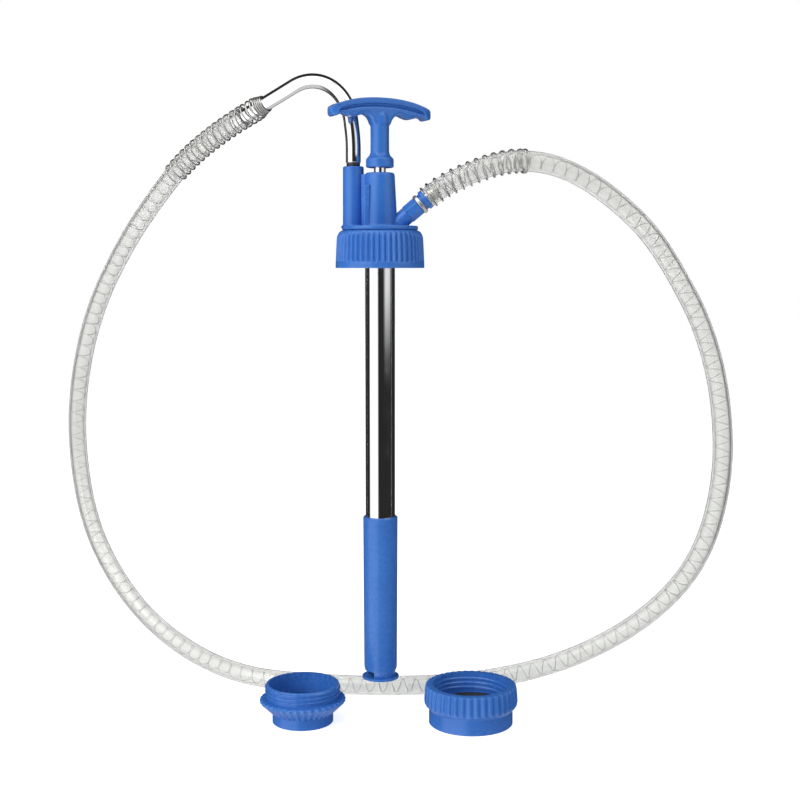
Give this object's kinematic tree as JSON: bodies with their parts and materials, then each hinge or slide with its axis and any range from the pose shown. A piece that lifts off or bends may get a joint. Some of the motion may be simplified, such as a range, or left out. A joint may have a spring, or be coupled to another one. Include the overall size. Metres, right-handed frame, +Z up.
{
  "type": "hand transfer pump",
  "caption": "Lift-type hand transfer pump: T-handle, screw collar, steel barrel with foot valve, looped clear hose with parked gooseneck spout, and two adapters.",
  "frame": {"origin": "centre of the screw collar's open mouth, on the pump's axis", "axes": "+Z up along the barrel and rod, +X towards the outlet, +Y to the back"},
  "size_m": [0.6345, 0.2823, 0.5563],
  "materials": {
    "blue_plastic": "moulded, satin",
    "dark_plastic": "moulded, satin",
    "chrome": "polished",
    "bright_steel": "bright zinc",
    "spring_steel": "drawn wire",
    "rubber": "matte",
    "acetal": "machined",
    "clear_hose": "clear, wire reinforced"
  },
  "bodies": {
    "pump_body": {"pump_head": "blue_plastic", "rod_bush": "acetal", "rod_wiper": "rubber", "socket_liner": "rubber", "retainer_ring": "blue_plastic", "container_gasket": "rubber", "barrel_oring": "rubber", "barrel_nut": "dark_plastic", "barrel_tube": "chrome", "inlet_sleeve": "blue_plastic", "sleeve_oring": "rubber", "foot_valve_seat": "acetal", "foot_valve_cage": "acetal", "hose_connector": "blue_plastic", "barb_insert": "bright_steel", "swivel_ring": "bright_steel", "connector_oring": "rubber", "outlet_spring": "spring_steel", "hose_main": "clear_hose"},
    "collar": {"collar_nut": "blue_plastic"},
    "foot_valve": {"foot_valve_ball": "bright_steel"},
    "piston": {"piston_body": "acetal", "piston_seal": "rubber", "piston_washer": "bright_steel"},
    "piston_valve": {"piston_valve_disc": "acetal"},
    "handle": {"piston_rod": "chrome", "rod_nut": "bright_steel", "stop_buffer": "rubber", "handle_grip": "blue_plastic", "handle_pin": "bright_steel"},
    "nozzle": {"spout_tube": "chrome", "spout_tip": "dark_plastic", "spout_spring": "spring_steel", "hose_end": "clear_hose"},
    "left_adapter": {"male_adapter": "blue_plastic", "male_adapter_gasket": "rubber"},
    "right_adapter": {"female_adapter": "blue_plastic", "female_adapter_gasket": "rubber"}
  },
  "joints": [
    {"name": "collar_spin", "type": "hinge", "parent": "pump_body", "child": "collar", "pos_m": [0, 0, 0], "axis": [0, 0, 1], "continuous": true},
    {"name": "foot_valve_lift", "type": "slide", "parent": "pump_body", "child": "foot_valve", "axis": [0, 0, 1], "range_m": [0, 0.005]},
    {"name": "plunger_stroke", "type": "slide", "parent": "pump_body", "child": "piston", "axis": [0, 0, 1], "range_m": [0, 0.25]},
    {"name": "piston_valve_lift", "type": "slide", "parent": "piston", "child": "piston_valve", "axis": [0, 0, 1], "range_m": [0, 0.003]},
    {"name": "handle_turn", "type": "hinge", "parent": "piston", "child": "handle", "pos_m": [0, 0, 0], "axis": [0, 0, 1], "range_deg": [0, 100]},
    {"name": "nozzle_lift", "type": "slide", "parent": "pump_body", "child": "nozzle", "axis": [0, 0, 1], "range_m": [0, 0.06]},
    {"name": "left_adapter_lift", "type": "slide", "parent": "pump_body", "child": "left_adapter", "axis": [0, 0, 1], "range_m": [0, 0.08]},
    {"name": "right_adapter_lift", "type": "slide", "parent": "pump_body", "child": "right_adapter", "axis": [0, 0, 1], "range_m": [0, 0.08]}
  ]
}
